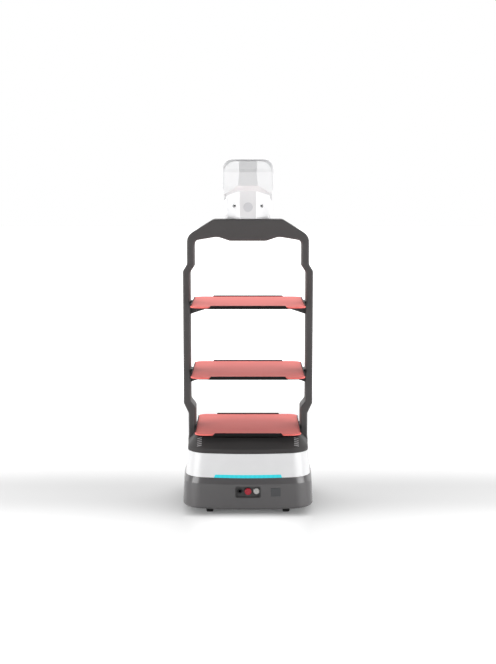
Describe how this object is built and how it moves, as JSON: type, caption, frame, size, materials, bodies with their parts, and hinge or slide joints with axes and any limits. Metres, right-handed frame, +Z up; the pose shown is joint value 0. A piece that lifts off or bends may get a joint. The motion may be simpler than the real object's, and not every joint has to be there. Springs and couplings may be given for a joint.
{
  "type": "autonomous mobile robot",
  "caption": "Delivery robot: wheeled oval base with light strips and rear switch panel, dark arch frame carrying coral trays, and a faceted white head with a front screen.",
  "frame": {"origin": "on the floor, under the middle of the base", "axes": "+Z up, +Y the robot's front (screen side), +X to its left-hand side seen from the front; the switch panel is on -Y"},
  "size_m": [0.4872, 0.504, 1.291],
  "materials": {
    "grey_shell": "satin moulded",
    "white_shell": "smooth moulded",
    "dark_shell": "fine textured",
    "light_diffuser": "glowing diffuser",
    "smoked_window": "smoked, polished",
    "frame_steel": "powder coated",
    "tray_metal": "powder coated",
    "mat_silicone": "matte silicone",
    "plate_steel": "zinc plated",
    "alloy": "machined",
    "tyre_rubber": "treaded rubber",
    "caster_rubber": "smooth tread",
    "spring_steel": "wire",
    "battery_case": "moulded",
    "sensor_black": "moulded",
    "panel_dark": "moulded",
    "stop_red": "moulded",
    "bright_metal": "satin",
    "flap_grey": "moulded",
    "screen_black": "polished cover glass"
  },
  "bodies": {
    "robot_base": {"lower_shell": "grey_shell", "band_shell": "white_shell", "light_strip_rear": "light_diffuser", "light_strip_front": "light_diffuser", "lidar_window": "smoked_window", "top_deck": "dark_shell", "arch_rear_cover": "dark_shell", "arch_front_cover": "dark_shell", "arch_core": "frame_steel", "upper_tray": "tray_metal", "middle_tray": "tray_metal", "lower_tray": "tray_metal", "tray_brackets": "tray_metal", "chassis_plate": "plate_steel", "deck_plate": "plate_steel", "deck_posts": "alloy", "left_spring": "spring_steel", "right_spring": "spring_steel", "suspension_brackets": "plate_steel", "caster_plates": "plate_steel", "battery_pack": "battery_case", "main_controller": "alloy", "lidar_stand": "plate_steel", "lidar_base": "sensor_black", "switch_panel": "panel_dark", "charge_socket": "sensor_black", "estop_body": "sensor_black", "power_switch_body": "bright_metal", "service_port": "sensor_black", "neck_base": "white_shell", "head_lower_shell": "white_shell", "head_rear_shell": "white_shell", "head_bezel": "white_shell", "screen_glass": "screen_black", "display_module": "sensor_black", "head_disc": "bright_metal", "head_screws": "sensor_black", "depth_camera": "sensor_black"},
    "right_arm": {"right_swing_arm": "alloy"},
    "right_wheel": {"right_tyre": "tyre_rubber", "right_hub_motor": "alloy"},
    "left_arm": {"left_swing_arm": "alloy"},
    "left_wheel": {"left_tyre": "tyre_rubber", "left_hub_motor": "alloy"},
    "rear_right_fork": {"rear_right_caster_fork": "plate_steel"},
    "rear_right_roller": {"rear_right_caster_wheel": "caster_rubber"},
    "rear_left_fork": {"rear_left_caster_fork": "plate_steel"},
    "rear_left_roller": {"rear_left_caster_wheel": "caster_rubber"},
    "front_right_fork": {"front_right_caster_fork": "plate_steel"},
    "front_right_roller": {"front_right_caster_wheel": "caster_rubber"},
    "front_left_fork": {"front_left_caster_fork": "plate_steel"},
    "front_left_roller": {"front_left_caster_wheel": "caster_rubber"},
    "scanner": {"lidar_head": "sensor_black"},
    "stop_button": {"estop_button": "stop_red"},
    "power_cap": {"power_button": "bright_metal"},
    "flap": {"service_flap": "flap_grey"},
    "upper_mat_body": {"upper_mat": "mat_silicone"},
    "middle_mat_body": {"middle_mat": "mat_silicone"},
    "lower_mat_body": {"lower_mat": "mat_silicone"}
  },
  "joints": [
    {"name": "right_suspension", "type": "hinge", "parent": "robot_base", "child": "right_arm", "pos_m": [0.144, 0.095, 0.0825], "axis": [-1, 0, 0], "range_deg": [-2.5, 2.5], "stiffness_Nm_per_rad": 95, "springref_deg": -5.73, "deforming": ["right_spring"]},
    {"name": "right_wheel_spin", "type": "hinge", "parent": "right_arm", "child": "right_wheel", "pos_m": [0.181, 0, 0.0825], "axis": [1, 0, 0], "continuous": true},
    {"name": "left_suspension", "type": "hinge", "parent": "robot_base", "child": "left_arm", "pos_m": [-0.144, 0.095, 0.0825], "axis": [-1, 0, 0], "range_deg": [-2.5, 2.5], "stiffness_Nm_per_rad": 95, "springref_deg": -5.73, "deforming": ["left_spring"]},
    {"name": "left_wheel_spin", "type": "hinge", "parent": "left_arm", "child": "left_wheel", "pos_m": [-0.181, 0, 0.0825], "axis": [1, 0, 0], "continuous": true},
    {"name": "rear_right_caster_swivel", "type": "hinge", "parent": "robot_base", "child": "rear_right_fork", "pos_m": [0.14, -0.15, 0.0605], "axis": [0, 0, 1], "continuous": true},
    {"name": "rear_right_caster_spin", "type": "hinge", "parent": "rear_right_fork", "child": "rear_right_roller", "pos_m": [0.14, -0.168, 0.025], "axis": [1, 0, 0], "continuous": true},
    {"name": "rear_left_caster_swivel", "type": "hinge", "parent": "robot_base", "child": "rear_left_fork", "pos_m": [-0.14, -0.15, 0.0605], "axis": [0, 0, 1], "continuous": true},
    {"name": "rear_left_caster_spin", "type": "hinge", "parent": "rear_left_fork", "child": "rear_left_roller", "pos_m": [-0.14, -0.168, 0.025], "axis": [1, 0, 0], "continuous": true},
    {"name": "front_right_caster_swivel", "type": "hinge", "parent": "robot_base", "child": "front_right_fork", "pos_m": [0.14, 0.15, 0.0605], "axis": [0, 0, 1], "continuous": true},
    {"name": "front_right_caster_spin", "type": "hinge", "parent": "front_right_fork", "child": "front_right_roller", "pos_m": [0.14, 0.132, 0.025], "axis": [1, 0, 0], "continuous": true},
    {"name": "front_left_caster_swivel", "type": "hinge", "parent": "robot_base", "child": "front_left_fork", "pos_m": [-0.14, 0.15, 0.0605], "axis": [0, 0, 1], "continuous": true},
    {"name": "front_left_caster_spin", "type": "hinge", "parent": "front_left_fork", "child": "front_left_roller", "pos_m": [-0.14, 0.132, 0.025], "axis": [1, 0, 0], "continuous": true},
    {"name": "scanner_spin", "type": "hinge", "parent": "robot_base", "child": "scanner", "pos_m": [0, 0.165, 0.18], "axis": [0, 0, 1], "continuous": true},
    {"name": "stop_press", "type": "slide", "parent": "robot_base", "child": "stop_button", "axis": [0, 1, 0], "range_m": [0, 0.004], "stiffness_N_per_m": 800},
    {"name": "power_press", "type": "slide", "parent": "robot_base", "child": "power_cap", "axis": [0, 1, 0], "range_m": [0, 0.002], "stiffness_N_per_m": 600},
    {"name": "flap_hinge", "type": "hinge", "parent": "robot_base", "child": "flap", "pos_m": [0.10014, -0.24075, 0.10693], "axis": [0.9938, 0.1116, 0], "range_deg": [-95, 0]},
    {"name": "upper_mat_lift", "type": "slide", "parent": "robot_base", "child": "upper_mat_body", "axis": [0, 0, 1], "range_m": [0, 0.06]},
    {"name": "middle_mat_lift", "type": "slide", "parent": "robot_base", "child": "middle_mat_body", "axis": [0, 0, 1], "range_m": [0, 0.06]},
    {"name": "lower_mat_lift", "type": "slide", "parent": "robot_base", "child": "lower_mat_body", "axis": [0, 0, 1], "range_m": [0, 0.06]}
  ]
}
